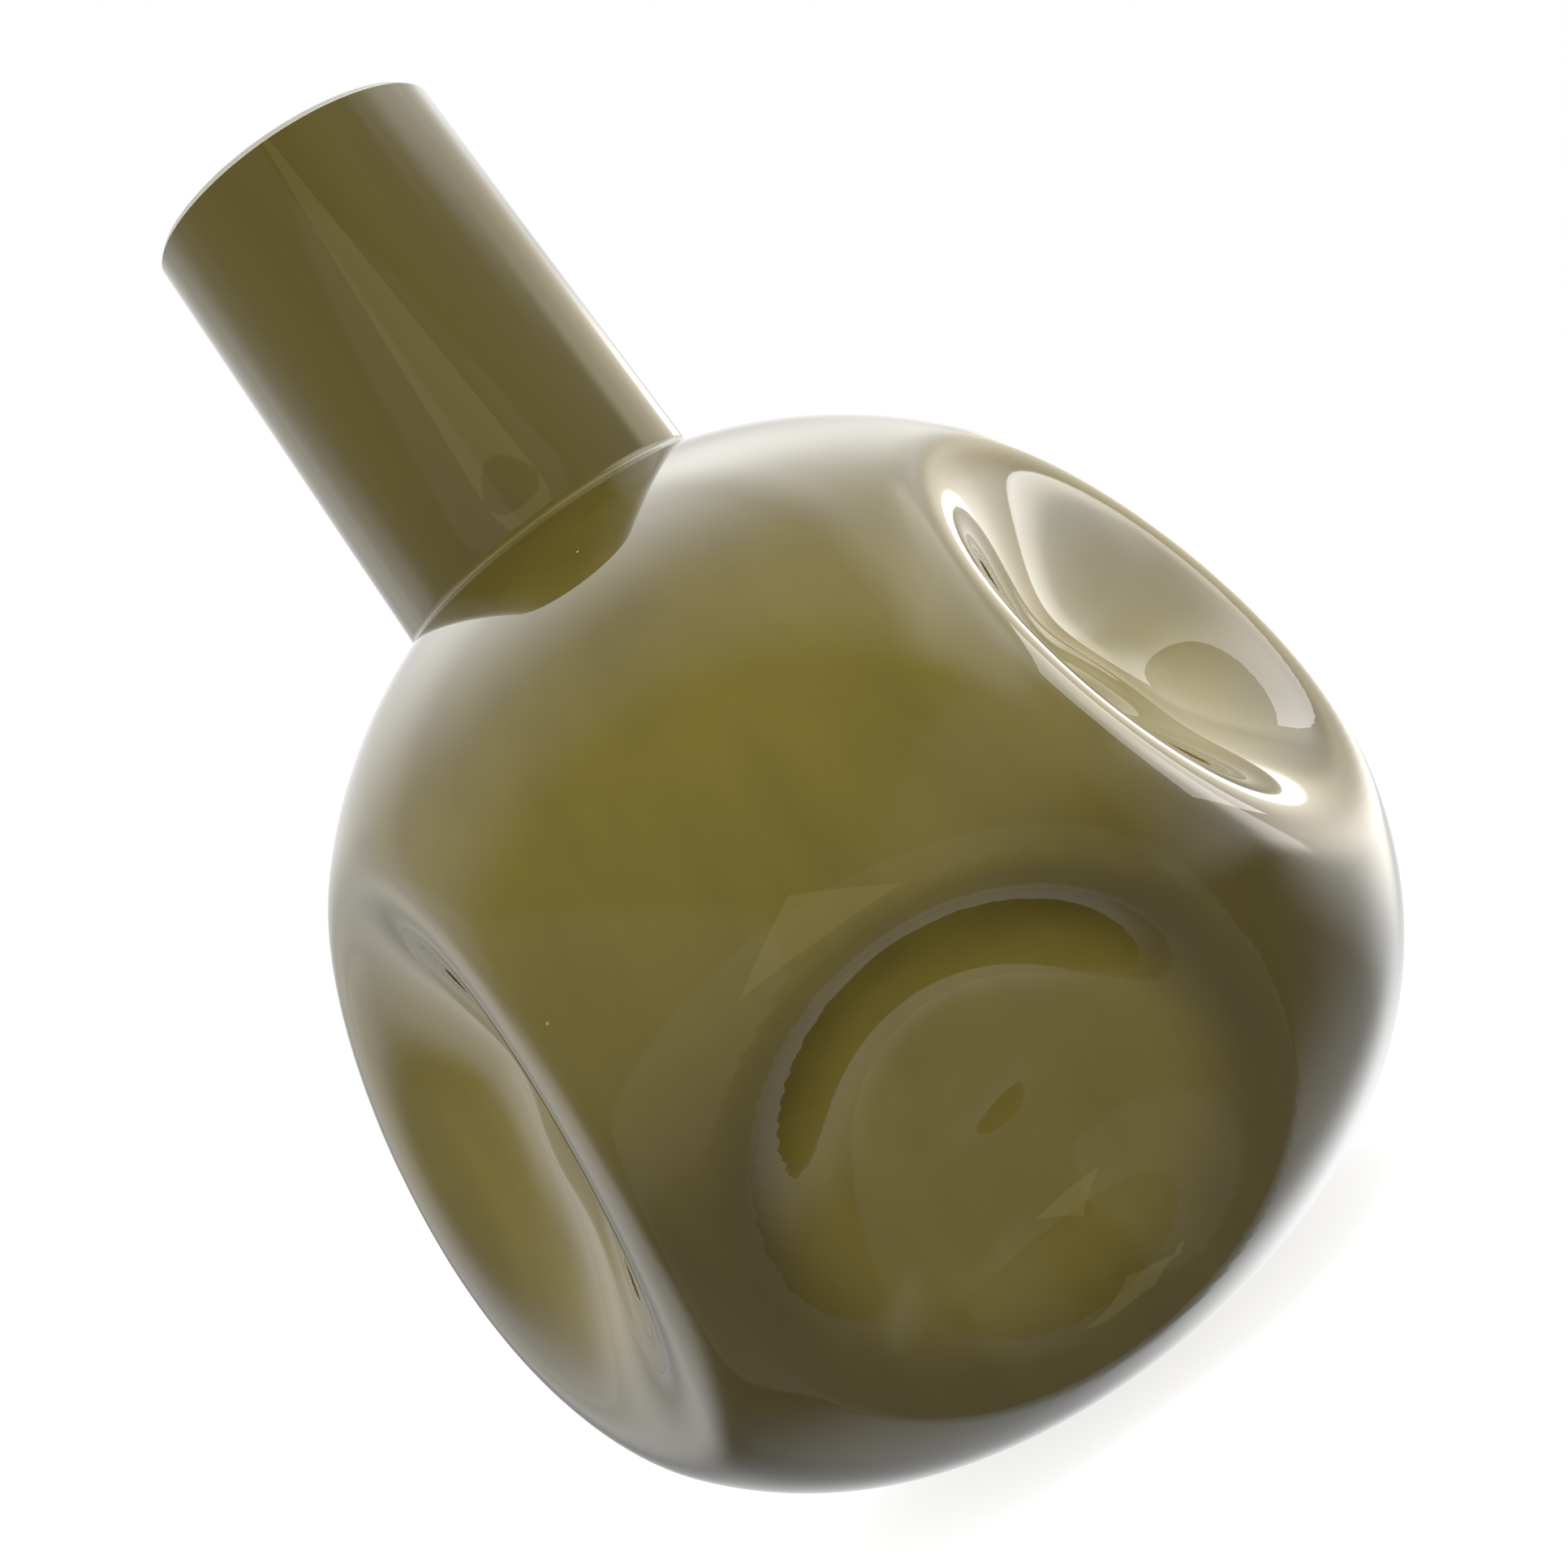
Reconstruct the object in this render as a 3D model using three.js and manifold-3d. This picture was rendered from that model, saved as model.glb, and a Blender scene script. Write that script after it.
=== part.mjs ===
// Blown glass vase with a dimpled bulb and a straight tubular neck, standing on its base
// Millimetres, +Z up along the bulb's axis, -Y is the front, origin in the middle of the flat base
import * as THREE from "three";
import { mergeVertices } from "three/addons/utils/BufferGeometryUtils.js";
import Module from "manifold-3d";

const wasm = await Module();
wasm.setup();

// Bulb: mean radius, and how far it departs from a ball from top to bottom and around
const BULB_R = 81.7;
const BELLY = -0.027;
const PEAR = 0.043;
const SHOULDER = -0.019;
const OVAL_FRONT = 0.019;
const OVAL_TURN = -0.03;

// Flat base: how much of the round bottom it takes away, and how softly it runs into the bulb
const BASE_CUT = 1.5;
const BASE_SOFT = 0.6;

// Dimples: az is the angle from the front towards +X and lat the one above the widest girth, in degrees
// bowl is the bowl's mean radius, oval how much taller than wide it is, depth and steep its section
// soft is the width of the rounded shoulder, skew makes it tighter at the top, up and side tilt the bowl
const RIGHT = {
  az: 60.2,
  lat: 10.9,
  bowl: 37.8,
  oval: 0.02,
  depth: 23.3,
  steep: 2.95,
  soft: 21.7,
  skew: 0,
  up: -0.12,
  side: -0.12,
};
const FRONT = {
  az: 1.7,
  lat: -20.9,
  bowl: 34.9,
  oval: 0,
  depth: 21.1,
  steep: 4.0,
  soft: 12.1,
  skew: 2.5,
  up: 0.21,
  side: -0.08,
};
const LEFT = {
  az: -58.9,
  lat: 1.7,
  bowl: 39.0,
  oval: 0.08,
  depth: 22.5,
  steep: 2.72,
  soft: 24.3,
  skew: 0,
  up: -0.14,
  side: 0.08,
};
const FAR = {
  az: 180,
  lat: 8,
  bowl: 36,
  oval: 0.03,
  depth: 21,
  steep: 3,
  soft: 20,
  skew: 0,
  up: 0,
  side: 0,
};
const FAR_RIGHT = { ...FAR, az: 123, lat: -20 };
const FAR_LEFT = { ...FAR, az: -118, lat: -20 };
const DIMPLES = [RIGHT, FRONT, LEFT, FAR, FAR_RIGHT, FAR_LEFT];

// Neck: its axis stands a little to the side of the bulb's, and it narrows towards the rim
const NECK_X = -3.4;
const FOOT_R = 26.4;
const RIM_R = 24.8;
const HEIGHT = 220.0;
const FILLET = 1.8;
const FILLET_STEPS = 4;
const BEVEL = 1.1;

// Walls: the coloured casing outside, the pale lining inside, and the joint between pieces
const CASING = 2.2;
const LINING = 1.3;
const JOINT = 0.3;
const LIP = 0.4;

// Facets: icosahedron steps of the outside, of the surfaces in the wall, and of the hollow
const OUTSIDE_STEPS = 13;
const WALL_STEPS = 11;
const HOLLOW_STEPS = 9;
const NECK_SIDES = 56;

const CENTRE_Z = BULB_R * (1 + BELLY - PEAR + SHOULDER) - BASE_CUT;

const OLIVE = { color: 0x6f6530, roughness: 0.04, metalness: 0 };
const OPAL = { color: 0xd9d3c0, roughness: 0.12, metalness: 0 };

function direction(az, lat) {
  const a = THREE.MathUtils.degToRad(az);
  const b = THREE.MathUtils.degToRad(lat);
  return new THREE.Vector3(
    Math.sin(a) * Math.cos(b),
    -Math.cos(a) * Math.cos(b),
    Math.sin(b),
  );
}

// The smaller of two lengths with a rounded step between them, soft wide
function softMin(a, b, soft) {
  const h = Math.max(soft - Math.abs(a - b), 0) / soft;
  return Math.min(a, b) - (h * h * h * soft) / 6;
}

// The bulb's radius r in direction d after one dimple has been pressed in
function dimpled(r, dimple, d) {
  const { az, lat, bowl, oval, depth, steep, soft, skew, up, side } = dimple;
  const rise = d.dot(direction(az, lat + 90));
  const run = d.dot(direction(az + 90, 0));
  const stretch =
    ((rise / (1 + oval)) ** 2 + (run / (1 - oval)) ** 2) / (rise ** 2 + run ** 2 + 1e-12);
  const t = BULB_R * Math.sqrt(Math.max(2 - 2 * d.dot(direction(az, lat)), 0) * stretch);
  const floor = BULB_R - depth + depth * (t / bowl) ** steep;
  const lean = BULB_R * (up * rise + side * run);
  const turn = THREE.MathUtils.clamp((rise * BULB_R) / bowl, -1.2, 1.2);
  return softMin(floor + lean, r, soft - skew * turn);
}

// Distance from the bulb's centre to its outer surface in direction d
function bulbRadius(d) {
  const z = d.z;
  const belly = 0.5 * (3 * z * z - 1);
  const pear = 0.5 * (5 * z * z * z - 3 * z);
  const shoulder = (35 * z * z * z * z - 30 * z * z + 3) / 8;
  let r = BULB_R * (1 + BELLY * belly + PEAR * pear + SHOULDER * shoulder);
  r += BULB_R * OVAL_FRONT * (d.y * d.y - d.x * d.x);
  r += BULB_R * OVAL_TURN * (-2 * d.x * d.y);
  for (const dimple of DIMPLES) {
    r = dimpled(r, dimple, d);
  }
  if (z < -0.2) {
    r = softMin(CENTRE_Z / -z, r, BASE_SOFT);
  }
  return r;
}

// The point at a given depth under the bulb's surface in direction d, square to the surface
function bulbPoint(d, depth) {
  const step = 0.002;
  const side = new THREE.Vector3(-d.y, d.x, 0);
  if (side.lengthSq() < 1e-6) {
    side.set(1, 0, 0);
  }
  side.normalize();
  const rise = new THREE.Vector3().crossVectors(d, side);
  const at = (u, v) => {
    const e = d.clone().addScaledVector(side, u).addScaledVector(rise, v).normalize();
    return e.multiplyScalar(bulbRadius(e));
  };
  const p = at(0, 0);
  const du = at(step, 0).sub(at(-step, 0));
  const dv = at(0, step).sub(at(0, -step));
  const normal = new THREE.Vector3().crossVectors(du, dv).normalize();
  p.addScaledVector(normal, -depth);
  p.z += CENTRE_Z;
  if (Math.abs(p.z - depth) < 0.002) {
    p.z = depth;
  }
  return p;
}

function solidOf(geometry) {
  geometry.deleteAttribute("normal");
  geometry.deleteAttribute("uv");
  const merged = mergeVertices(geometry, 1e-4);
  return new wasm.Manifold(
    new wasm.Mesh({
      numProp: 3,
      vertProperties: new Float32Array(merged.attributes.position.array),
      triVerts: new Uint32Array(merged.index.array),
    }),
  );
}

function meshOf(name, solid, look) {
  const made = solid.getMesh();
  const geometry = new THREE.BufferGeometry();
  geometry.setAttribute("position", new THREE.BufferAttribute(made.vertProperties, 3));
  geometry.setIndex(new THREE.BufferAttribute(made.triVerts, 1));
  geometry.computeVertexNormals();
  const mesh = new THREE.Mesh(geometry, new THREE.MeshStandardMaterial(look));
  mesh.name = name;
  return mesh;
}

// Everything inside the bulb's surface, drawn in by depth
function bulbSolid(depth, steps) {
  const geometry = new THREE.IcosahedronGeometry(1, steps);
  const position = geometry.attributes.position;
  const d = new THREE.Vector3();
  for (let i = 0; i < position.count; i++) {
    d.fromBufferAttribute(position, i).normalize();
    const p = bulbPoint(d, depth);
    position.setXYZ(i, p.x, p.y, p.z);
  }
  return solidOf(geometry);
}

// Height of the bulb's surface at the point x, y near its top
function surfaceHeight(x, y) {
  const p = new THREE.Vector3(x, y, BULB_R);
  for (let i = 0; i < 6; i++) {
    const r = bulbRadius(p.clone().normalize());
    p.z = Math.sqrt(r * r - x * x - y * y);
  }
  return p.z + CENTRE_Z;
}

const FOOT_Z = surfaceHeight(NECK_X, -FOOT_R - FILLET);
const SUNK = 12;

// A round solid on the neck's axis, from a profile of radius and height pairs
// Below the end of the fillet each side of it rises or drops with the bulb's surface under the foot
function turned(pairs, seated) {
  const profile = pairs.map(([r, z]) => new THREE.Vector2(r, z));
  if (profile[0].x > 0) {
    profile.push(profile[0].clone());
  }
  const geometry = new THREE.LatheGeometry(profile, NECK_SIDES);
  geometry.rotateX(Math.PI / 2);
  geometry.translate(NECK_X, 0, 0);
  const position = geometry.attributes.position;
  const reach = FOOT_R + FILLET;
  for (let i = 0; seated && i < position.count; i++) {
    const x = position.getX(i) - NECK_X;
    const y = position.getY(i);
    const z = position.getZ(i);
    const out = reach / Math.hypot(x, y);
    if (z < FOOT_Z + 2 * FILLET) {
      position.setZ(i, z + surfaceHeight(NECK_X + x * out, y * out) - FOOT_Z);
    }
  }
  return solidOf(geometry);
}

function neckRadius(z) {
  return FOOT_R + ((RIM_R - FOOT_R) * (z - FOOT_Z)) / (HEIGHT - FOOT_Z);
}

// A plug that cuts the mouth of the bulb, from the bulb's middle up past the neck's foot
function borePlug(radius) {
  return turned([
    [0, CENTRE_Z],
    [radius, CENTRE_Z],
    [radius, FOOT_Z + SUNK],
    [0, FOOT_Z + SUNK],
  ]);
}

const LINING_DEPTH = CASING + JOINT;
const FOOT_BORE = FOOT_R - CASING;

// Bulb: outer casing of coloured glass
function makeBulbCasing() {
  return bulbSolid(0, OUTSIDE_STEPS)
    .subtract(bulbSolid(CASING, WALL_STEPS))
    .subtract(borePlug(FOOT_BORE));
}

// Bulb: pale lining
function makeBulbLining() {
  return bulbSolid(LINING_DEPTH, WALL_STEPS)
    .subtract(bulbSolid(LINING_DEPTH + LINING, HOLLOW_STEPS))
    .subtract(borePlug(FOOT_BORE - JOINT - LINING));
}

// Neck: outer casing with a small fillet at the foot and a ground bevel at the rim
function makeNeckCasing() {
  const low = FOOT_Z - SUNK;
  const slope = Math.asin((FOOT_R + FILLET) / BULB_R);
  const centreZ = FOOT_Z + FILLET * Math.cos(slope);
  const pairs = [[FOOT_BORE, low]];
  pairs.push([FOOT_R + FILLET * (1 - Math.sin(slope)), low]);
  for (let i = 0; i <= FILLET_STEPS; i++) {
    const a = Math.PI * 1.5 - slope - (i / FILLET_STEPS) * (Math.PI / 2 - slope);
    pairs.push([FOOT_R + FILLET * (1 + Math.cos(a)), centreZ + FILLET * Math.sin(a)]);
  }
  pairs.push([neckRadius(HEIGHT - BEVEL), HEIGHT - BEVEL]);
  pairs.push([RIM_R - BEVEL, HEIGHT]);
  pairs.push([RIM_R - CASING, HEIGHT]);
  pairs.push([FOOT_BORE, FOOT_Z + 2 * FILLET]);
  return turned(pairs, true).subtract(bulbSolid(-JOINT, OUTSIDE_STEPS));
}

// Neck: pale lining, standing on the bulb's lining
function makeNeckLining() {
  const low = FOOT_Z - SUNK;
  const outer = FOOT_BORE - JOINT;
  const rim = RIM_R - CASING - JOINT;
  return turned([
    [outer - LINING, low],
    [outer, low],
    [outer, FOOT_Z + 2 * FILLET],
    [rim, HEIGHT],
    [rim - LINING + LIP, HEIGHT],
    [rim - LINING, HEIGHT - LIP],
    [outer - LINING, FOOT_Z + 2 * FILLET],
  ]).subtract(bulbSolid(CASING, WALL_STEPS));
}

const vase = new THREE.Group();
vase.name = "vase";
vase.add(meshOf("bulb_casing", makeBulbCasing(), OLIVE));
vase.add(meshOf("bulb_lining", makeBulbLining(), OPAL));
vase.add(meshOf("neck_casing", makeNeckCasing(), OLIVE));
vase.add(meshOf("neck_lining", makeNeckLining(), OPAL));

export default vase;
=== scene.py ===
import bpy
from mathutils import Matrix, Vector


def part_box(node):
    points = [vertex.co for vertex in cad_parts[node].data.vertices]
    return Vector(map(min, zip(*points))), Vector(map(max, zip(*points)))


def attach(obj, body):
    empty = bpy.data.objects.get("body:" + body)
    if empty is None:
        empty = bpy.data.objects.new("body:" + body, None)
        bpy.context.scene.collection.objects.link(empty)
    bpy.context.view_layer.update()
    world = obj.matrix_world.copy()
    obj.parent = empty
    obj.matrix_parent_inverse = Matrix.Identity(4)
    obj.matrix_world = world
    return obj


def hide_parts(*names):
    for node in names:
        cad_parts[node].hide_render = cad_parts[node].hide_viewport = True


bl_info = {
    "name": "Dimpled glass vase",
    "version": (1, 0, 0),
    "blender": (4, 5, 0),
    "location": "View3D > Sidebar > Vase",
    "description": "Blown glass vase with a dimpled bulb and a tubular neck, built over its packed solids",
    "category": "Object",
}

import math
from collections import namedtuple

import bmesh
import bpy
import numpy as np
from bpy.props import FloatProperty, FloatVectorProperty, IntProperty, PointerProperty
from mathutils import Matrix, Vector

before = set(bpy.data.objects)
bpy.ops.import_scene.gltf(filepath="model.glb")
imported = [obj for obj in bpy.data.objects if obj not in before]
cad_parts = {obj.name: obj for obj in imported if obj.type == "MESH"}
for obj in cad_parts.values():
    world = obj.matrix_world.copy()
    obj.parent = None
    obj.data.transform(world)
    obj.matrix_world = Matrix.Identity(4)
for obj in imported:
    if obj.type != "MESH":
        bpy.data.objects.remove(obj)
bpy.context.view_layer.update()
MM = 0.001

# Height of the rim over the flat base, as the solids have it
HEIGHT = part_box("neck_casing")[1].z

# How far the bulb departs from a ball: from top to bottom, and around
BELLY = -0.027
PEAR = 0.043
SHOULDER = -0.019
OVAL_FRONT = 0.019
OVAL_TURN = -0.03

# Flat base: how much of the round bottom it takes away, how softly it runs into the bulb, and the slope
# (the height of a unit direction) below which it applies
BASE_CUT = 1.5 * MM
BASE_SOFT = 0.6 * MM
BASE_REGION = -0.2

# Dimples: az is the angle from the front towards +X and lat the one above the widest girth, in degrees
# bowl is the bowl's mean radius, oval how much taller than wide it is, depth and steep its section
# soft is the width of the rounded shoulder, skew makes it tighter at the top, up and side tilt the bowl
RIGHT = {
    "az": 60.2,
    "lat": 10.9,
    "bowl": 37.8 * MM,
    "oval": 0.02,
    "depth": 23.3 * MM,
    "steep": 2.95,
    "soft": 21.7 * MM,
    "skew": 0.0,
    "up": -0.12,
    "side": -0.12,
}
FRONT = {
    "az": 1.7,
    "lat": -20.9,
    "bowl": 34.9 * MM,
    "oval": 0.0,
    "depth": 21.1 * MM,
    "steep": 4.0,
    "soft": 12.1 * MM,
    "skew": 2.5 * MM,
    "up": 0.21,
    "side": -0.08,
}
LEFT = {
    "az": -58.9,
    "lat": 1.7,
    "bowl": 39.0 * MM,
    "oval": 0.08,
    "depth": 22.5 * MM,
    "steep": 2.72,
    "soft": 24.3 * MM,
    "skew": 0.0,
    "up": -0.14,
    "side": 0.08,
}
FAR = {
    "az": 180.0,
    "lat": 8.0,
    "bowl": 36.0 * MM,
    "oval": 0.03,
    "depth": 21.0 * MM,
    "steep": 3.0,
    "soft": 20.0 * MM,
    "skew": 0.0,
    "up": 0.0,
    "side": 0.0,
}
FAR_RIGHT = {**FAR, "az": 123.0, "lat": -20.0}
FAR_LEFT = {**FAR, "az": -118.0, "lat": -20.0}
DIMPLES = (RIGHT, FRONT, LEFT, FAR, FAR_RIGHT, FAR_LEFT)

# Neck: its axis stands a little to the side of the bulb's, and over this height its foot follows the bulb
NECK_X = -3.4 * MM
NECK_FADE = 14 * MM

# The bulb's rings shift under the neck's axis from one height of a unit direction to the other
RING_SHIFT = (0.2, 0.8)

# Rows of points on the fillet and up the neck
FILLET_STEPS = 10
NECK_ROWS = 28

# Rim: how far under the bevel the last row stands, the width of the painted line of light under the bevel
# and the rounding of the top
LAST_ROW = 0.25 * MM
PAINTED_LINE_WIDTH = 0.12 * MM
ROUNDING = 0.1 * MM

# Linings: their gap to the coloured glass, the rounded lip, and the steps around the bulb and the neck
JOINT = 0.3 * MM
LIP = 0.4 * MM
BULB_LINING_SEGMENTS = 120
NECK_LINING_SEGMENTS = 160

# Edges sharper than this, in degrees, stay creases in the shading
CASING_CREASE = 28
LINING_CREASE = 40

# Share of lighter olive: the least on the bulb; what a dimple adds, partly thin glass and partly painted
# glow that keeps the hollow from looking shaded; what the upper bulb adds, painted light from above; the
# neck's
THIN_LEAST = 0.17
DIMPLE_THIN_AND_GLOW = 0.74
UPPER_PAINTED_LIGHT = 0.42
THIN_NECK = 0.4

# Depths over which a dimple's share grows, and heights over which the upper bulb's painted light comes and
# goes
PRESSED = (2 * MM, 16.5 * MM)
UPPER_COMES = (56 * MM, 86 * MM)
UPPER_GOES = (151 * MM, 109 * MM)

# Camera: place in metres, turn about its line of sight and slope of that line, in degrees
CAMERA_AT = (0.0045, -0.3712, 0.0927)
CAMERA_ROLL = 35.34
CAMERA_RISE = 1.0

# Its angle of view: the photograph's side and the focal length, both in the photograph's pixels
PHOTO_SIDE = 1932
PHOTO_FOCUS = 2950
SENSOR = 36.0


class VaseSizes(bpy.types.PropertyGroup):
    bulb_radius: FloatProperty(
        name="Bulb radius",
        description="Mean radius of the bulb's outside",
        default=81.7 * MM,
        unit="LENGTH",
    )
    foot_radius: FloatProperty(
        name="Neck radius at the foot",
        description="Outside of the neck where it leaves the bulb",
        default=26.4 * MM,
        unit="LENGTH",
    )
    rim_radius: FloatProperty(
        name="Neck radius at the rim",
        description="Outside of the neck at its upper end",
        default=24.8 * MM,
        unit="LENGTH",
    )
    fillet: FloatProperty(
        name="Fillet",
        description="Hollow rounding between the neck and the bulb",
        default=1.8 * MM,
        unit="LENGTH",
    )
    bevel: FloatProperty(
        name="Rim bevel",
        description="Width of the ground bevel on the rim",
        default=1.1 * MM,
        unit="LENGTH",
    )
    casing: FloatProperty(
        name="Casing",
        description="Thickness of the coloured glass outside",
        default=2.2 * MM,
        unit="LENGTH",
    )
    lining: FloatProperty(
        name="Lining",
        description="Thickness of the pale glass inside",
        default=1.3 * MM,
        unit="LENGTH",
    )
    segments: IntProperty(
        name="Segments",
        description="Steps around the bulb and the neck",
        default=300,
    )


class VaseColours(bpy.types.PropertyGroup):
    # The light olive also carries painted light on the upper bulb and painted glow in the dimples
    olive: FloatVectorProperty(
        name="Olive",
        description="Coloured glass where it is thin",
        subtype="COLOR",
        size=3,
        default=(0.262, 0.206, 0.037),
    )
    deep_olive: FloatVectorProperty(
        name="Deep olive",
        description="Coloured glass where it is thicker",
        subtype="COLOR",
        size=3,
        default=(0.062, 0.048, 0.0083),
    )
    opal: FloatVectorProperty(
        name="Opal",
        description="Pale glass of the lining",
        subtype="COLOR",
        size=3,
        default=(0.69, 0.65, 0.53),
    )
    ground: FloatVectorProperty(
        name="Ground glass",
        description="Matte ground rim",
        subtype="COLOR",
        size=3,
        default=(0.30, 0.29, 0.245),
    )
    floor: FloatVectorProperty(
        name="Floor",
        description="Plain pale floor",
        subtype="COLOR",
        size=3,
        default=(0.88, 0.88, 0.88),
    )


def sizes():
    return bpy.context.scene.vase_sizes


def colours():
    return bpy.context.scene.vase_colours


def direction(az, lat):
    a = math.radians(az)
    b = math.radians(lat)
    return np.array([math.sin(a) * math.cos(b), -math.cos(a) * math.cos(b), math.sin(b)])


def soft_min(a, b, soft):
    """The smaller of two lengths with a rounded step between them, soft wide."""
    h = np.maximum(soft - np.abs(a - b), 0) / soft
    return np.minimum(a, b) - h**3 * soft / 6


def dimpled(r, dimple, d):
    """The bulb's radii r in the directions d after one dimple has been pressed in."""
    radius = sizes().bulb_radius
    rise = d @ direction(dimple["az"], dimple["lat"] + 90)
    run = d @ direction(dimple["az"] + 90, 0)
    oval = dimple["oval"]
    stretch = ((rise / (1 + oval)) ** 2 + (run / (1 - oval)) ** 2) / (rise**2 + run**2 + 1e-12)
    chord = 2 - 2 * (d @ direction(dimple["az"], dimple["lat"]))
    t = radius * np.sqrt(np.maximum(chord, 0) * stretch)
    floor = radius - dimple["depth"] + dimple["depth"] * (t / dimple["bowl"]) ** dimple["steep"]
    lean = radius * (dimple["up"] * rise + dimple["side"] * run)
    turn = np.clip(rise * radius / dimple["bowl"], -1.2, 1.2)
    return soft_min(floor + lean, r, dimple["soft"] - dimple["skew"] * turn)


def centre_height():
    """Height of the bulb's centre over the flat base."""
    return sizes().bulb_radius * (1 + BELLY - PEAR + SHOULDER) - BASE_CUT


def ball_radii(d):
    """Distances from the bulb's centre to its outside in the directions d, before any dimple."""
    z = d[:, 2]
    belly = 0.5 * (3 * z**2 - 1)
    pear = 0.5 * (5 * z**3 - 3 * z)
    shoulder = (35 * z**4 - 30 * z**2 + 3) / 8
    r = 1 + BELLY * belly + PEAR * pear + SHOULDER * shoulder
    r = r + OVAL_FRONT * (d[:, 1] ** 2 - d[:, 0] ** 2) - 2 * OVAL_TURN * d[:, 0] * d[:, 1]
    return r * sizes().bulb_radius


def bulb_radii(d):
    """Distances from the bulb's centre to its outside in the directions d."""
    z = d[:, 2]
    r = ball_radii(d)
    for dimple in DIMPLES:
        r = dimpled(r, dimple, d)
    low = z < BASE_REGION
    r[low] = soft_min(centre_height() / -z[low], r[low], BASE_SOFT)
    return r


def smooth(value, low, high):
    """0 at low and 1 at high, with a soft change between."""
    t = np.clip((value - low) / (high - low), 0, 1)
    return t * t * (3 - 2 * t)


def unit(v):
    return v / np.linalg.norm(v, axis=1, keepdims=True)


def bulb_points(d, depth):
    """Points at a depth under the bulb's outside in the directions d, and the outward normals there."""
    step = 0.002
    side = np.stack([-d[:, 1], d[:, 0], np.zeros(len(d))], 1)
    side[np.linalg.norm(side, axis=1) < 1e-3] = (1, 0, 0)
    side = unit(side)
    rise = np.cross(d, side)

    def at(u, v):
        e = unit(d + u * side + v * rise)
        return e * bulb_radii(e)[:, None]

    normals = unit(np.cross(at(step, 0) - at(-step, 0), at(0, step) - at(0, -step)))
    points = at(0, 0) - normals * depth
    points[:, 2] += centre_height()
    return points, normals


def surface_height(x, y):
    """Heights of the bulb's outside at the points x, y near its top."""
    z = np.full(len(x), sizes().bulb_radius)
    for _ in range(6):
        r = bulb_radii(unit(np.stack([x, y, z], 1)))
        z = np.sqrt(r**2 - x**2 - y**2)
    return z + centre_height()


def foot_slope():
    return math.asin((sizes().foot_radius + sizes().fillet) / sizes().bulb_radius)


def foot_reach():
    """Distance from the neck's axis to the line where its fillet meets the bulb."""
    return sizes().foot_radius + sizes().fillet * (1 - math.sin(foot_slope()))


def foot_height():
    """Height of that line at the front of the neck."""
    return surface_height(np.array([NECK_X]), np.array([-foot_reach()]))[0]


def hub_height():
    """Height of the centre of the fillet's arc at the front of the neck."""
    return foot_height() + sizes().fillet * math.cos(foot_slope())


def ring_directions(segments, rings, mouth):
    """A ball's vertices below its mouth, as a bmesh whose upper rings run round the neck's axis."""
    bm = bmesh.new()
    bmesh.ops.create_uvsphere(bm, u_segments=segments, v_segments=rings, radius=1)
    radius = sizes().bulb_radius
    reach = mouth / radius
    gone = [v for v in bm.verts if v.co.z > 0 and v.co.xy.length < reach * 0.999]
    bmesh.ops.delete(bm, geom=gone, context="VERTS")
    for v in bm.verts:
        v.co.x += smooth(v.co.z, *RING_SHIFT) * NECK_X / radius
    return bm


def skin(segments, rings, depth, mouth):
    """One surface of the bulb, open at the mouth, as a bmesh in place."""
    bm = ring_directions(segments, rings, mouth)
    d = unit(np.array([v.co for v in bm.verts]))
    points, _ = bulb_points(d, depth)
    for v, p in zip(bm.verts, points):
        v.co = p
    edge = [v for v in bm.verts if v.is_boundary]
    around = np.array([math.atan2(v.co.y, v.co.x - NECK_X) for v in edge])
    x = NECK_X + mouth * np.cos(around)
    y = mouth * np.sin(around)
    z = surface_height(x, y) - depth / math.cos(foot_slope())
    for v, p in zip(edge, np.stack([x, y, z], 1)):
        v.co = p
    return bm


def finished(name, bm, materials):
    """The bmesh as a smooth piece that rides with the vase."""
    mesh = bpy.data.meshes.new(name)
    bm.to_mesh(mesh)
    bm.free()
    mesh.shade_smooth()
    for material in materials:
        mesh.materials.append(material)
    piece = bpy.data.objects.new(name, mesh)
    bpy.context.scene.collection.objects.link(piece)
    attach(piece, "root")
    return piece


def bulb_shell(name, depth, wall, mouth, segments, material):
    """A closed wall of the bulb between two depths, open at the mouth."""
    outer = skin(segments, segments // 2, depth, mouth)
    inner = skin(segments, segments // 4, depth + wall, mouth)
    bmesh.ops.reverse_faces(inner, faces=inner.faces)
    scratch = bpy.data.meshes.new("scratch")
    inner.to_mesh(scratch)
    outer.from_mesh(scratch)
    inner.free()
    bpy.data.meshes.remove(scratch)
    bmesh.ops.bridge_loops(outer, edges=[e for e in outer.edges if e.is_boundary])
    return finished(name, outer, [material])


def mark_thin_and_painted_light(mesh, values):
    """Stores the share of lighter olive at each point, from 0 to 1: thin glass, and on the bulb also painted
    light.
    """
    mesh.attributes.new("thin_and_painted_light", "FLOAT", "POINT").data.foreach_set("value", values)


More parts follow.
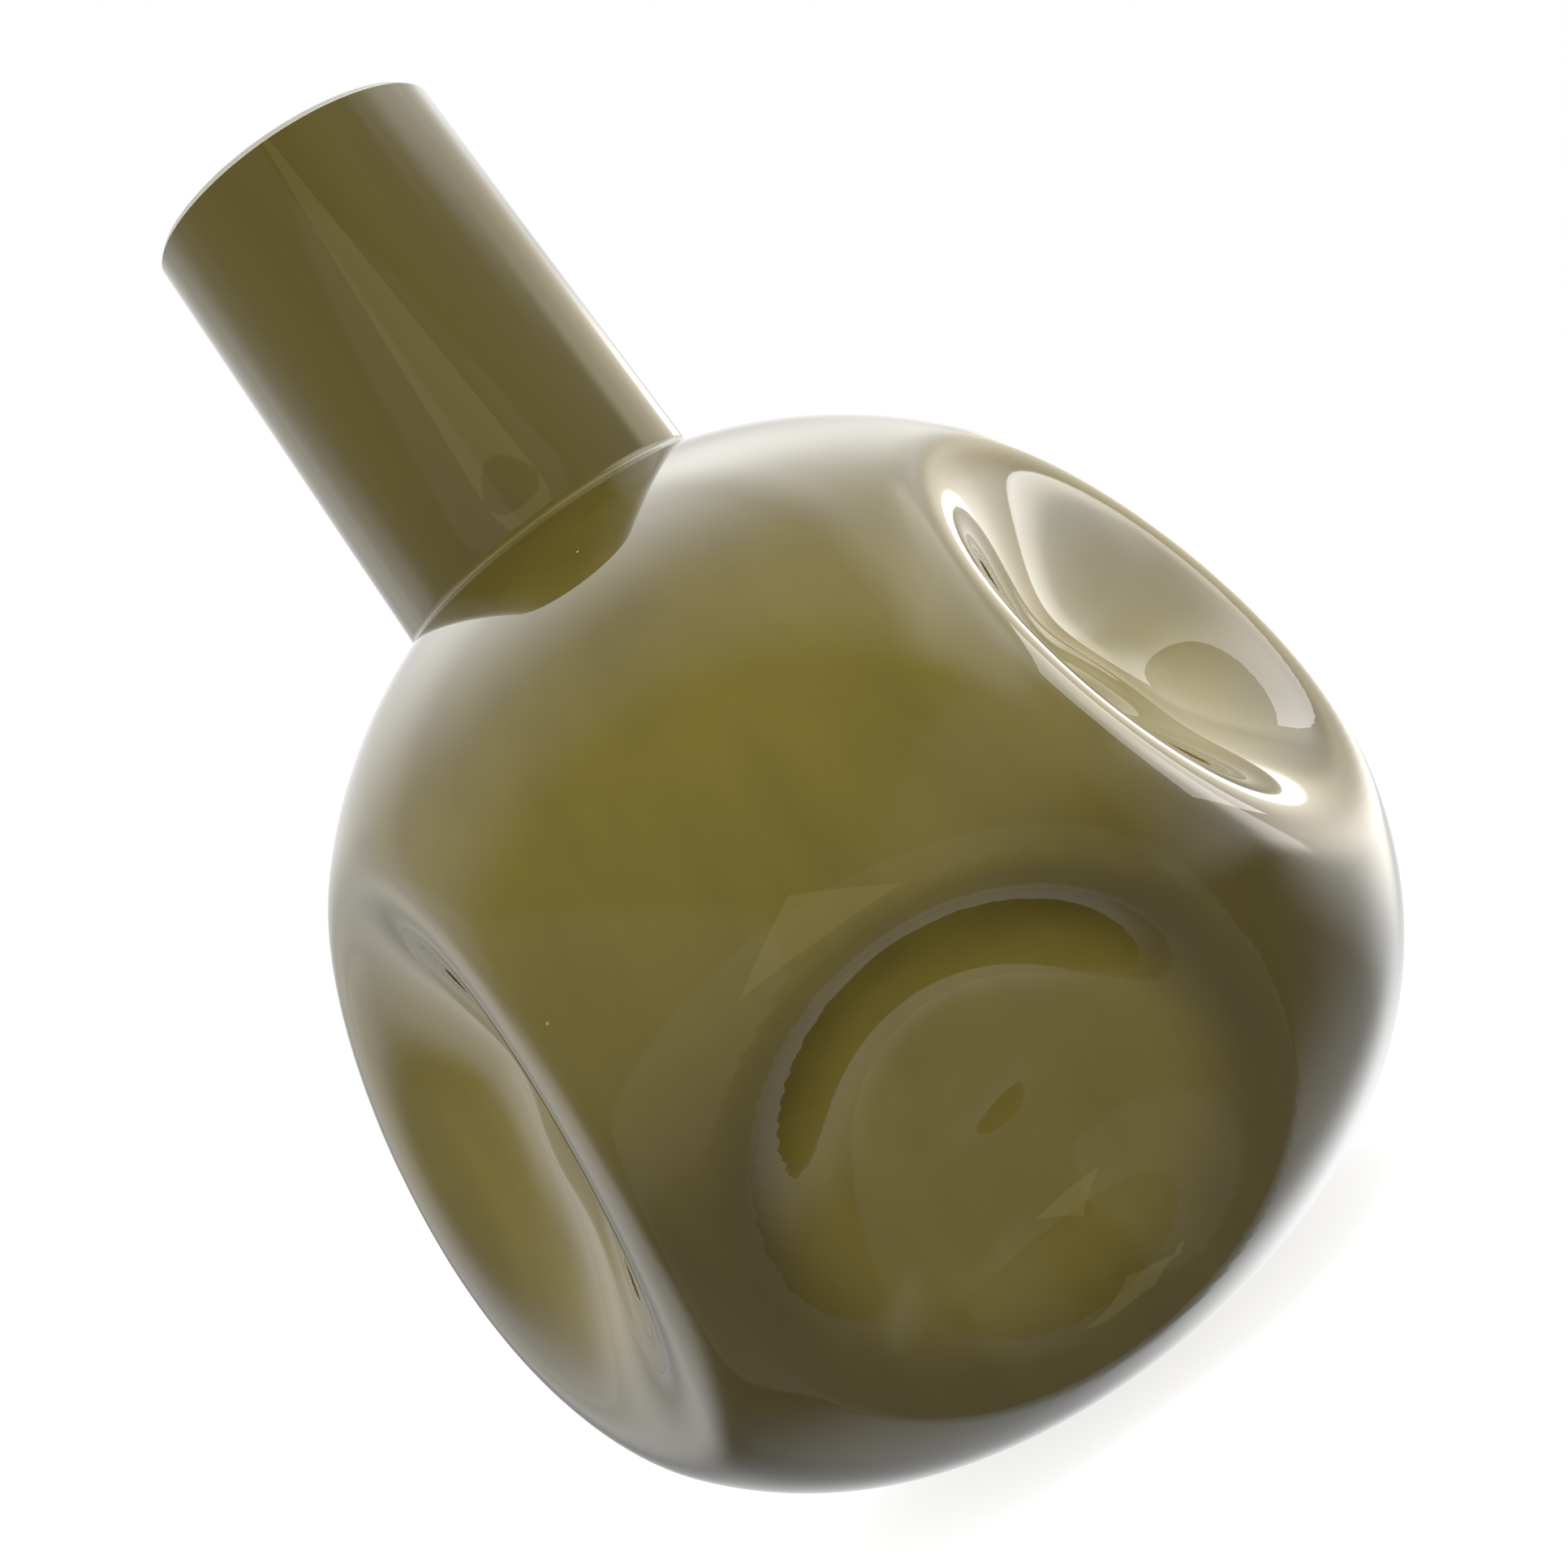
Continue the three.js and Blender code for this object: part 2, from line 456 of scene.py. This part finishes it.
def dress(piece):
    """Gives the bulb's casing the normals of its formula and marks where its olive is lighter: thinner glass
    and painted glow in the dimples, painted light from above on the upper bulb.
    """
    mesh = piece.data
    co = np.zeros(len(mesh.vertices) * 3)
    mesh.vertices.foreach_get("co", co)
    co = co.reshape(-1, 3) - (0, 0, centre_height())
    d = unit(co)
    inside = np.linalg.norm(co, axis=1) < bulb_radii(d) - sizes().casing / 2
    normals = bulb_points(d, 0)[1]
    normals[inside] *= -1
    mesh.normals_split_custom_set_from_vertices(normals.tolist())
    # Dimples: lighter olive, partly thin glass and partly painted glow where the hollow would look shaded
    pressed = smooth(ball_radii(d) - bulb_radii(d), *PRESSED)
    # Upper bulb: lighter olive as painted light from above
    height = co[:, 2] + centre_height()
    upper = smooth(height, *UPPER_COMES) * smooth(height, *UPPER_GOES)
    mark_thin_and_painted_light(mesh, THIN_LEAST + np.hypot(DIMPLE_THIN_AND_GLOW * pressed, UPPER_PAINTED_LIGHT * upper))


def turned(points, segments):
    """A profile of radius and height pairs spun round the neck's axis and closed on itself."""
    bm = bmesh.new()
    verts = [bm.verts.new((r, 0, z)) for r, z in points]
    edges = [bm.edges.new((verts[i - 1], verts[i])) for i in range(len(verts))]
    bmesh.ops.spin(
        bm,
        geom=verts + edges,
        cent=(0, 0, 0),
        axis=(0, 0, 1),
        angle=math.tau,
        steps=segments,
        use_merge=True,
        use_duplicate=False,
    )
    bmesh.ops.remove_doubles(bm, verts=bm.verts, dist=1e-6)
    bmesh.ops.recalc_face_normals(bm, faces=bm.faces)
    return bm


def seated(bm, low, high):
    """Lets the foot of the neck follow the bulb's surface under it, fading out from low to high."""
    reach = foot_reach()
    xy = np.array([v.co.xy for v in bm.verts])
    around = reach / np.linalg.norm(xy, axis=1, keepdims=True)
    heights = surface_height(*(xy * around + (NECK_X, 0)).T) - foot_height()
    for v, h in zip(bm.verts, heights):
        v.co.z += h * min(max((high - v.co.z) / (high - low), 0), 1)
        v.co.x += NECK_X


def neck_radius(z):
    """Outside radius of the neck at the height z, before the bevel."""
    s = sizes()
    foot = foot_height()
    return s.foot_radius + (s.rim_radius - s.foot_radius) * (z - foot) / (HEIGHT - foot)


def neck_profile():
    """Radius and height pairs around the wall of the neck's casing, from the fillet up and down the bore."""
    s = sizes()
    foot = foot_height()
    slope = foot_slope()
    hub = hub_height()
    points = []
    for i in range(FILLET_STEPS + 1):
        a = math.pi * 1.5 - slope - i / FILLET_STEPS * (math.pi / 2 - slope)
        points.append((s.foot_radius + s.fillet * (1 + math.cos(a)), hub + s.fillet * math.sin(a)))
    edge = HEIGHT - s.bevel
    high = edge - LAST_ROW
    heights = [hub + (high - hub) * i / NECK_ROWS for i in range(1, NECK_ROWS + 1)] + [edge]
    points += [(neck_radius(z), z) for z in heights]
    points.append((s.rim_radius - PAINTED_LINE_WIDTH, edge + PAINTED_LINE_WIDTH))
    points.append((s.rim_radius - s.bevel + ROUNDING, HEIGHT - ROUNDING))
    points.append((s.rim_radius - s.bevel - ROUNDING, HEIGHT))
    points.append((s.rim_radius - s.casing, HEIGHT))
    bore = s.foot_radius - s.casing
    points.append((bore, foot + 2 * s.fillet))
    points.append((bore, foot - s.casing))
    points.append((foot_reach(), foot - s.casing))
    return points


def lining_profile():
    """Radius and height pairs around the wall of the neck's lining, with its smooth lip."""
    s = sizes()
    foot = foot_height()
    depth = s.casing + JOINT
    outer = s.foot_radius - depth
    rim = s.rim_radius - depth
    return [
        (outer, foot - depth),
        (outer, foot + 2 * s.fillet),
        (rim, HEIGHT),
        (rim - s.lining + LIP, HEIGHT),
        (rim - s.lining + 0.3 * LIP, HEIGHT - 0.3 * LIP),
        (rim - s.lining, HEIGHT - LIP),
        (outer - s.lining, foot + 2 * s.fillet),
        (outer - s.lining, foot - depth),
    ]


def olive_glass():
    """Glossy opaque olive glass, lighter where it is thin and where light is painted on the upper bulb and
    in the dimples, cloudy, with fine upright cords, a few seeds and a ground base.
    """
    c = colours()
    material, nodes, links, shader = blank_material("blown_olive")
    place = nodes.new("ShaderNodeTexCoord").outputs["Object"]

    cloud = noise(nodes, links, place, (1, 1, 0.7), 14.0, 2.0)
    cords = noise(nodes, links, place, (90, 90, 7), 1.0, 3.0)
    # Deep olive turns to light olive with each point's share: thin glass, and painted light on the upper
    # bulb and painted glow in the dimples
    depth = nodes.new("ShaderNodeMix")
    depth.data_type = "RGBA"
    depth.inputs["A"].default_value = (*c.deep_olive, 1)
    depth.inputs["B"].default_value = (*c.olive, 1)
    thin_and_painted_light = nodes.new("ShaderNodeAttribute")
    thin_and_painted_light.attribute_name = "thin_and_painted_light"
    drift = math_node(nodes, links, "MULTIPLY", math_node(nodes, links, "SUBTRACT", cloud, 0.5), 0.12)
    links.new(math_node(nodes, links, "ADD", thin_and_painted_light.outputs["Fac"], drift), depth.inputs["Factor"])

    veil = nodes.new("ShaderNodeMix")
    veil.data_type = "RGBA"
    veil.blend_type = "MULTIPLY"
    veil.inputs["Factor"].default_value = 0.22
    links.new(depth.outputs["Result"], veil.inputs["A"])
    links.new(spread(nodes, links, cords, 0.2, 0.8), veil.inputs["B"])

    seeds = nodes.new("ShaderNodeTexVoronoi")
    seeds.inputs["Scale"].default_value = 110.0
    links.new(place, seeds.inputs["Vector"])
    speck = spread(nodes, links, seeds.outputs["Distance"], 0.035, 0.02)
    rare = math_node(nodes, links, "GREATER_THAN", seeds.outputs["Color"], 0.86)
    speckled = nodes.new("ShaderNodeMix")
    speckled.data_type = "RGBA"
    links.new(math_node(nodes, links, "MULTIPLY", speck, rare), speckled.inputs["Factor"])
    links.new(veil.outputs["Result"], speckled.inputs["A"])
    speckled.inputs["B"].default_value = (0.34, 0.31, 0.18, 1)
    links.new(speckled.outputs["Result"], shader.inputs["Base Color"])

    height = nodes.new("ShaderNodeSeparateXYZ")
    links.new(place, height.inputs["Vector"])
    ground = spread(nodes, links, height.outputs["Z"], 0.25 * MM, 0.08 * MM)
    rough = nodes.new("ShaderNodeMix")
    rough.inputs["A"].default_value = 0.012
    rough.inputs["B"].default_value = 0.42
    links.new(ground, rough.inputs["Factor"])
    links.new(rough.outputs["Result"], shader.inputs["Roughness"])

    waves = noise(nodes, links, place, (1, 1, 0.6), 34.0, 1.0)
    bump = nodes.new("ShaderNodeBump")
    bump.inputs["Strength"].default_value = 0.06
    bump.inputs["Distance"].default_value = 0.15 * MM
    links.new(waves, bump.inputs["Height"])
    links.new(bump.outputs["Normal"], shader.inputs["Normal"])
    return material


def pale_glass():
    """Smooth opal glass of the lining, faintly clouded."""
    material, nodes, links, shader = blank_material("pale_glass")
    place = nodes.new("ShaderNodeTexCoord").outputs["Object"]
    cloud = noise(nodes, links, place, (1, 1, 1), 22.0, 3.0)
    tone = nodes.new("ShaderNodeMix")
    tone.data_type = "RGBA"
    tone.inputs["A"].default_value = (*[x * 0.88 for x in colours().opal], 1)
    tone.inputs["B"].default_value = (*colours().opal, 1)
    links.new(cloud, tone.inputs["Factor"])
    links.new(tone.outputs["Result"], shader.inputs["Base Color"])
    shader.inputs["Roughness"].default_value = 0.14
    return material


def ground_glass():
    """Matte ground glass of the rim, with a fine grain."""
    material, nodes, links, shader = blank_material("ground_glass")
    place = nodes.new("ShaderNodeTexCoord").outputs["Object"]
    grain = noise(nodes, links, place, (1, 1, 1), 2600.0, 2.0)
    tone = nodes.new("ShaderNodeMix")
    tone.data_type = "RGBA"
    tone.inputs["A"].default_value = (*[x * 0.82 for x in colours().ground], 1)
    tone.inputs["B"].default_value = (*colours().ground, 1)
    links.new(grain, tone.inputs["Factor"])
    links.new(tone.outputs["Result"], shader.inputs["Base Color"])
    shader.inputs["Roughness"].default_value = 0.55
    bump = nodes.new("ShaderNodeBump")
    bump.inputs["Strength"].default_value = 0.3
    bump.inputs["Distance"].default_value = 0.03 * MM
    links.new(grain, bump.inputs["Height"])
    links.new(bump.outputs["Normal"], shader.inputs["Normal"])
    return material


def blank_material(name):
    material = bpy.data.materials.new(name)
    material.use_nodes = True
    nodes = material.node_tree.nodes
    links = material.node_tree.links
    shader = nodes["Principled BSDF"]
    shader.inputs["IOR"].default_value = 1.5
    return material, nodes, links, shader


def noise(nodes, links, place, stretch, scale, detail):
    mapping = nodes.new("ShaderNodeMapping")
    mapping.inputs["Scale"].default_value = stretch
    links.new(place, mapping.inputs["Vector"])
    texture = nodes.new("ShaderNodeTexNoise")
    texture.inputs["Scale"].default_value = scale
    texture.inputs["Detail"].default_value = detail
    links.new(mapping.outputs["Vector"], texture.inputs["Vector"])
    return texture.outputs["Fac"]


def spread(nodes, links, value, low, high):
    """Stretches a value so that low becomes 0 and high becomes 1."""
    ramp = nodes.new("ShaderNodeMapRange")
    ramp.inputs["From Min"].default_value = low
    ramp.inputs["From Max"].default_value = high
    links.new(value, ramp.inputs["Value"])
    return ramp.outputs["Result"]


def math_node(nodes, links, operation, *values):
    node = nodes.new("ShaderNodeMath")
    node.operation = operation
    for socket, value in zip(node.inputs, values):
        if isinstance(value, bpy.types.NodeSocket):
            links.new(value, socket)
        else:
            socket.default_value = value
    return node.outputs["Value"]


class VASE_OT_bulb(bpy.types.Operator):
    """Makes the bulb's casing of coloured glass"""

    bl_idname = "vase.bulb"
    bl_label = "Bulb"

    def execute(self, context):
        s = sizes()
        piece = bulb_shell("bulb_glass", 0, s.casing, foot_reach(), s.segments, olive_glass())
        dress(piece)
        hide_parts("bulb_casing")
        return {"FINISHED"}


class VASE_OT_neck(bpy.types.Operator):
    """Makes the neck's casing with its fillet, its ground bevel and a painted line of light under the bevel
    """

    bl_idname = "vase.neck"
    bl_label = "Neck"

    def execute(self, context):
        s = sizes()
        edge = HEIGHT - s.bevel
        bm = turned(neck_profile(), s.segments)
        for face in bm.faces:
            middle = face.calc_center_median()
            if middle.z > edge and middle.xy.length > s.rim_radius - s.casing:
                # The bevel takes the ground glass, and the narrow band under it the painted line of light
                face.material_index = 1 if middle.z > edge + PAINTED_LINE_WIDTH else 2
        low = hub_height()
        seated(bm, low, low + NECK_FADE)
        materials = [bpy.data.materials["blown_olive"], ground_glass(), painted_light_line()]
        piece = finished("neck_glass", bm, materials)
        sharpen(piece, CASING_CREASE)
        mark_thin_and_painted_light(piece.data, np.full(len(piece.data.vertices), THIN_NECK))
        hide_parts("neck_casing")
        return {"FINISHED"}


def painted_light_line():
    """Painted line of light: a bright olive colour that stands in for light leaving the glass along the
    lower edge of the bevel.
    """
    material, nodes, links, shader = blank_material("painted_light_line")
    place = nodes.new("ShaderNodeTexCoord").outputs["Object"]
    along = noise(nodes, links, place, (1, 1, 1), 160.0, 2.0)
    tone = nodes.new("ShaderNodeMix")
    tone.data_type = "RGBA"
    tone.inputs["A"].default_value = (0.20, 0.20, 0.03, 1)
    tone.inputs["B"].default_value = (0.36, 0.36, 0.09, 1)
    links.new(along, tone.inputs["Factor"])
    links.new(tone.outputs["Result"], shader.inputs["Base Color"])
    shader.inputs["Roughness"].default_value = 0.2
    return material


def sharpen(piece, angle):
    """Keeps edges sharper than an angle in degrees as creases in the shading."""
    bm = bmesh.new()
    bm.from_mesh(piece.data)
    for edge in bm.edges:
        edge.smooth = edge.calc_face_angle(0) < math.radians(angle)
    bm.to_mesh(piece.data)
    bm.free()


class VASE_OT_linings(bpy.types.Operator):
    """Makes the pale linings of the bulb and the neck"""

    bl_idname = "vase.linings"
    bl_label = "Linings"

    def execute(self, context):
        s = sizes()
        depth = s.casing + JOINT
        outer = s.foot_radius - depth
        material = pale_glass()
        bulb = bulb_shell("bulb_opal", depth, s.lining, outer, BULB_LINING_SEGMENTS, material)
        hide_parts("bulb_lining")

        foot = foot_height()
        bm = turned(lining_profile(), NECK_LINING_SEGMENTS)
        seated(bm, foot, foot + NECK_FADE)
        neck = finished("neck_opal", bm, [material])
        sharpen(neck, LINING_CREASE)
        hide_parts("neck_lining")
        return {"FINISHED"}


WHITE = (1.0, 1.0, 1.0)
CREAM = (1.0, 0.89, 0.70)
OLIVE_GLOW = (1.0, 0.85, 0.42)

# A panel of light that the glass mirrors: azimuth and height of its middle, half width and half height, all
# in degrees, brightness, softness of its upright and of its level edges, colour, how much brighter it grows
# towards the right, how much narrower towards the top, and whether it is oval
Panel = namedtuple(
    "Panel",
    "az lat half_width half_height brightness soft soft_level colour ramp taper oval",
    defaults=(WHITE, 0, 0, False),
)

RIGHT_BOX = Panel(89, -4, 24, 12, 1.3, 0.08, 0.35, ramp=1.0)
RIGHT_TOP = Panel(95, 33, 24, 10, 1.1, 0.2, 0.5)
RIGHT_FADE = Panel(62, 18, 43, 12, 0.35, 0.3, 0.5, ramp=0.8)
RIGHT_WALL = Panel(126, -1, 26, 18, 1.8, 0.25, 0.4, CREAM)
RIGHT_LOW = Panel(126, -14, 22, 12, 1.3, 0.6, 0.6)
RIGHT_HIGH = Panel(122, 37, 34, 17, 1.15, 0.4, 0.3)
STRIP = Panel(152, 4, 8, 9, 1.6, 0.15, 0.3)
TOP_BOX = Panel(177, 57, 24, 21, 2.12, 0.85, 0.85)
TOP_GLOW = Panel(171, 62, 67, 43, 0.80, 0.46, 0.46)
LEFT_WALL = Panel(-104, 4, 22, 30, 0.3, 0.7, 0.7)
LEFT_LOW = Panel(-115, -5, 22, 19, 1.2, 0.5, 0.5)
LEFT_FRONT = Panel(-66, 17, 56, 24, 0.22, 0.05, 0.2)
BACK_RIGHT = Panel(151, -12, 40, 30, 0.45, 0.72, 0.72)
BACK = Panel(180, -8, 44, 30, 0.45, 0.5, 0.5)
BACK_LEFT = Panel(-174, 29, 41, 23, 0.28, 0.36, 0.36)
BACK_LOW = Panel(164, -33, 10, 11, 1.00, 0.9, 0.9)
BELOW = Panel(176, -64, 38, 25, 0.5, 0.3, 0.3, oval=True)
REFLECTOR = Panel(-4, -38, 72, 59, 0.23, 0.006, 0.006, oval=True)
WEDGE = Panel(1, 18.75, 10.5, 4.8, 0.6, 0.015, 0.015, OLIVE_GLOW, taper=1.0)
PANELS = (
    RIGHT_BOX,
    RIGHT_TOP,
    RIGHT_FADE,
    RIGHT_WALL,
    RIGHT_LOW,
    RIGHT_HIGH,
    STRIP,
    TOP_BOX,
    TOP_GLOW,
    LEFT_WALL,
    LEFT_LOW,
    LEFT_FRONT,
    BACK_RIGHT,
    BACK,
    BACK_LEFT,
    BACK_LOW,
    BELOW,
    REFLECTOR,
    WEDGE,
)

# Brightness of the room in the mirrored view, and of the even light that falls on the glass's own colour
ROOM = 0.19
AMBIENT = 0.7

# Softbox close to the vase on the right, that the right dimple mirrors: place and size in metres, brightness
SOFTBOX_AT = (0.200, -0.010, 0.103)
SOFTBOX_SIZE = (0.110, 0.088)
SOFTBOX_LEVEL = 2.8

# Floor: its radius in metres and its own light, which keeps it pale
FLOOR_RADIUS = 4.0
FLOOR_GLOW = 0.78

# Overhead key light: azimuth and height it comes from, its strength and how wide it spreads in degrees
KEY_FROM = (60, 75)
KEY_STRENGTH = 2.45
KEY_ANGLE = 60


def panel_light(nodes, links, ray, panel):
    """Light of one panel seen in the direction of the ray."""
    parts = []
    for axis in (
        direction(panel.az, panel.lat),
        direction(panel.az + 90, 0),
        direction(panel.az, panel.lat + 90),
    ):
        dot = nodes.new("ShaderNodeVectorMath")
        dot.operation = "DOT_PRODUCT"
        dot.inputs[1].default_value = axis
        links.new(ray, dot.inputs[0])
        parts.append(dot.outputs["Value"])
    ahead, across, along = parts
    mask = math_node(nodes, links, "GREATER_THAN", ahead, 0.001)
    if panel.oval:
        across = math_node(nodes, links, "DIVIDE", across, math.sin(math.radians(panel.half_width)))
        along = math_node(nodes, links, "DIVIDE", along, math.sin(math.radians(panel.half_height)))
        squares = [math_node(nodes, links, "POWER", part, 2) for part in (across, along)]
        away = math_node(nodes, links, "SQRT", math_node(nodes, links, "ADD", *squares))
        mask = math_node(nodes, links, "MULTIPLY", mask, soft_step(nodes, links, away, panel.soft))
    else:
        ahead = math_node(nodes, links, "MAXIMUM", ahead, 0.001)
        wide = math_node(nodes, links, "MULTIPLY", ahead, math.tan(math.radians(panel.half_width)))
        tall = math_node(nodes, links, "MULTIPLY", ahead, math.tan(math.radians(panel.half_height)))
        across = math_node(nodes, links, "DIVIDE", across, wide)
        along = math_node(nodes, links, "DIVIDE", along, tall)
        gain = math_node(nodes, links, "MULTIPLY_ADD", across, panel.ramp, 1)
        mask = math_node(nodes, links, "MULTIPLY", mask, math_node(nodes, links, "MAXIMUM", gain, 0))
        narrow = math_node(nodes, links, "MULTIPLY_ADD", along, -panel.taper, 1)
        narrow = math_node(nodes, links, "MAXIMUM", narrow, 0.02)
        across = math_node(nodes, links, "DIVIDE", across, narrow)
        for part, soft in ((across, panel.soft), (along, panel.soft_level)):
            away = math_node(nodes, links, "ABSOLUTE", part)
            mask = math_node(nodes, links, "MULTIPLY", mask, soft_step(nodes, links, away, soft))
    light = nodes.new("ShaderNodeVectorMath")
    light.operation = "SCALE"
    light.inputs[0].default_value = Vector(panel.colour) * panel.brightness
    links.new(mask, light.inputs["Scale"])
    return light.outputs["Vector"]


def background(nodes, colour):
    node = nodes.new("ShaderNodeBackground")
    node.inputs["Color"].default_value = colour
    return node


def soft_step(nodes, links, value, soft):
    """1 below an edge at 1 and 0 above it, with a soft change between."""
    step = nodes.new("ShaderNodeMapRange")
    step.interpolation_type = "SMOOTHSTEP"
    step.inputs["From Min"].default_value = 1 - soft
    step.inputs["From Max"].default_value = 1 + soft
    step.inputs["To Min"].default_value = 1
    step.inputs["To Max"].default_value = 0
    links.new(value, step.inputs["Value"])
    return step.outputs["Result"]


def make_floor():
    bm = bmesh.new()
    bmesh.ops.create_circle(bm, cap_ends=True, segments=96, radius=FLOOR_RADIUS)
    mesh = bpy.data.meshes.new("floor")
    bm.to_mesh(mesh)
    bm.free()
    material, nodes, links, shader = blank_material("floor")
    shader.inputs["Base Color"].default_value = (*colours().floor, 1)
    shader.inputs["Roughness"].default_value = 1.0
    shader.inputs["Specular IOR Level"].default_value = 0.0
    shader.inputs["Emission Color"].default_value = (1, 1, 1, 1)
    shader.inputs["Emission Strength"].default_value = FLOOR_GLOW
    mesh.materials.append(material)
    floor = bpy.data.objects.new("floor", mesh)
    bpy.context.scene.collection.objects.link(floor)
    floor.visible_glossy = False
    floor.visible_diffuse = False


def mirrored_light(nodes, links):
    """Light of the room and all its panels in the direction of a ray."""
    ray = nodes.new("ShaderNodeTexCoord").outputs["Generated"]
    light = None
    for panel in PANELS:
        total = nodes.new("ShaderNodeVectorMath")
        total.operation = "ADD"
        links.new(panel_light(nodes, links, ray, panel), total.inputs[0])
        if light is None:
            total.inputs[1].default_value = (ROOM, ROOM, ROOM)
        else:
            links.new(light, total.inputs[1])
        light = total.outputs["Vector"]
    return light


def choice(nodes, links, ray_kind, otherwise, chosen):
    """One shader for rays of a kind and another for all the rest."""
    mix = nodes.new("ShaderNodeMixShader")
    links.new(ray_kind, mix.inputs["Fac"])
    links.new(otherwise, mix.inputs[1])
    links.new(chosen, mix.inputs[2])
    return mix.outputs["Shader"]


def make_world():
    """White behind the vase, panels in what the glass mirrors, and even light for everything else."""
    world = bpy.data.worlds.new("studio")
    bpy.context.scene.world = world
    world.use_nodes = True
    nodes = world.node_tree.nodes
    links = world.node_tree.links
    nodes.remove(nodes["Background"])
    white = background(nodes, (1, 1, 1, 1))
    even = background(nodes, (AMBIENT, AMBIENT, AMBIENT, 1))
    mirrored = background(nodes, (0, 0, 0, 1))
    links.new(mirrored_light(nodes, links), mirrored.inputs["Color"])
    ray_is = nodes.new("ShaderNodeLightPath").outputs
    even, mirrored, white = (node.outputs["Background"] for node in (even, mirrored, white))
    lit = choice(nodes, links, ray_is["Is Glossy Ray"], even, mirrored)
    seen = choice(nodes, links, ray_is["Is Camera Ray"], lit, white)
    links.new(seen, nodes["World Output"].inputs["Surface"])


def make_key():
    """Wide soft light from above, which the glass doesn't mirror."""
    lamp = bpy.data.lights.new("key", "SUN")
    lamp.energy = KEY_STRENGTH
    lamp.angle = math.radians(KEY_ANGLE)
    key = bpy.data.objects.new("key", lamp)
    bpy.context.scene.collection.objects.link(key)
    toward = Vector(direction(*KEY_FROM))
    key.location = toward
    key.rotation_euler = toward.to_track_quat("Z", "Y").to_euler()
    key.visible_glossy = False


def make_softbox():
    """Rectangle of light facing the vase from the right, which only mirrored rays see."""
    lamp = bpy.data.lights.new("softbox", "AREA")
    lamp.shape = "RECTANGLE"
    lamp.size, lamp.size_y = SOFTBOX_SIZE
    lamp.energy = SOFTBOX_LEVEL * math.pi * lamp.size * lamp.size_y
    softbox = bpy.data.objects.new("softbox", lamp)
    bpy.context.scene.collection.objects.link(softbox)
    softbox.location = SOFTBOX_AT
    softbox.rotation_euler = (math.pi / 2, 0, math.pi / 2)
    softbox.visible_camera = False
    softbox.visible_diffuse = False


def make_camera():
    """Camera with the photograph's angle of view, rolled as the vase leans in it."""
    scene = bpy.context.scene
    data = bpy.data.cameras.new("camera")
    data.sensor_width = SENSOR
    data.lens = SENSOR * PHOTO_FOCUS / PHOTO_SIDE
    data.clip_start = 0.01
    camera = bpy.data.objects.new("camera", data)
    scene.collection.objects.link(camera)
    level = Matrix.Rotation(math.radians(90 + CAMERA_RISE), 4, "X")
    roll = Matrix.Rotation(math.radians(-CAMERA_ROLL), 4, "Z")
    camera.matrix_world = Matrix.Translation(CAMERA_AT) @ level @ roll
    scene.camera = camera
    scene.view_settings.view_transform = "Standard"


class VASE_OT_stage(bpy.types.Operator):
    """Makes the floor, the soft studio light and the camera"""

    bl_idname = "vase.stage"
    bl_label = "Stage"

    def execute(self, context):
        make_floor()
        make_world()
        make_key()
        make_softbox()
        make_camera()
        return {"FINISHED"}


class VASE_PT_panel(bpy.types.Panel):
    """Lists the vase's sizes, colours and pieces"""

    bl_idname = "VASE_PT_panel"
    bl_label = "Dimpled glass vase"
    bl_space_type = "VIEW_3D"
    bl_region_type = "UI"
    bl_category = "Vase"

    def draw(self, context):
        for group in (context.scene.vase_sizes, context.scene.vase_colours):
            for name in group.__annotations__:
                self.layout.prop(group, name)
        for operator in OPERATORS:
            self.layout.operator(operator.bl_idname)


OPERATORS = (VASE_OT_bulb, VASE_OT_neck, VASE_OT_linings, VASE_OT_stage)
CLASSES = (VaseSizes, VaseColours, *OPERATORS, VASE_PT_panel)


def register():
    for cls in CLASSES:
        bpy.utils.register_class(cls)
    bpy.types.Scene.vase_sizes = PointerProperty(type=VaseSizes)
    bpy.types.Scene.vase_colours = PointerProperty(type=VaseColours)


def unregister():
    del bpy.types.Scene.vase_colours
    del bpy.types.Scene.vase_sizes
    for cls in reversed(CLASSES):
        bpy.utils.unregister_class(cls)


def main():
    register()
    bpy.ops.vase.bulb()
    bpy.ops.vase.neck()
    bpy.ops.vase.linings()
    bpy.ops.vase.stage()


if __name__ == "__main__":
    main()
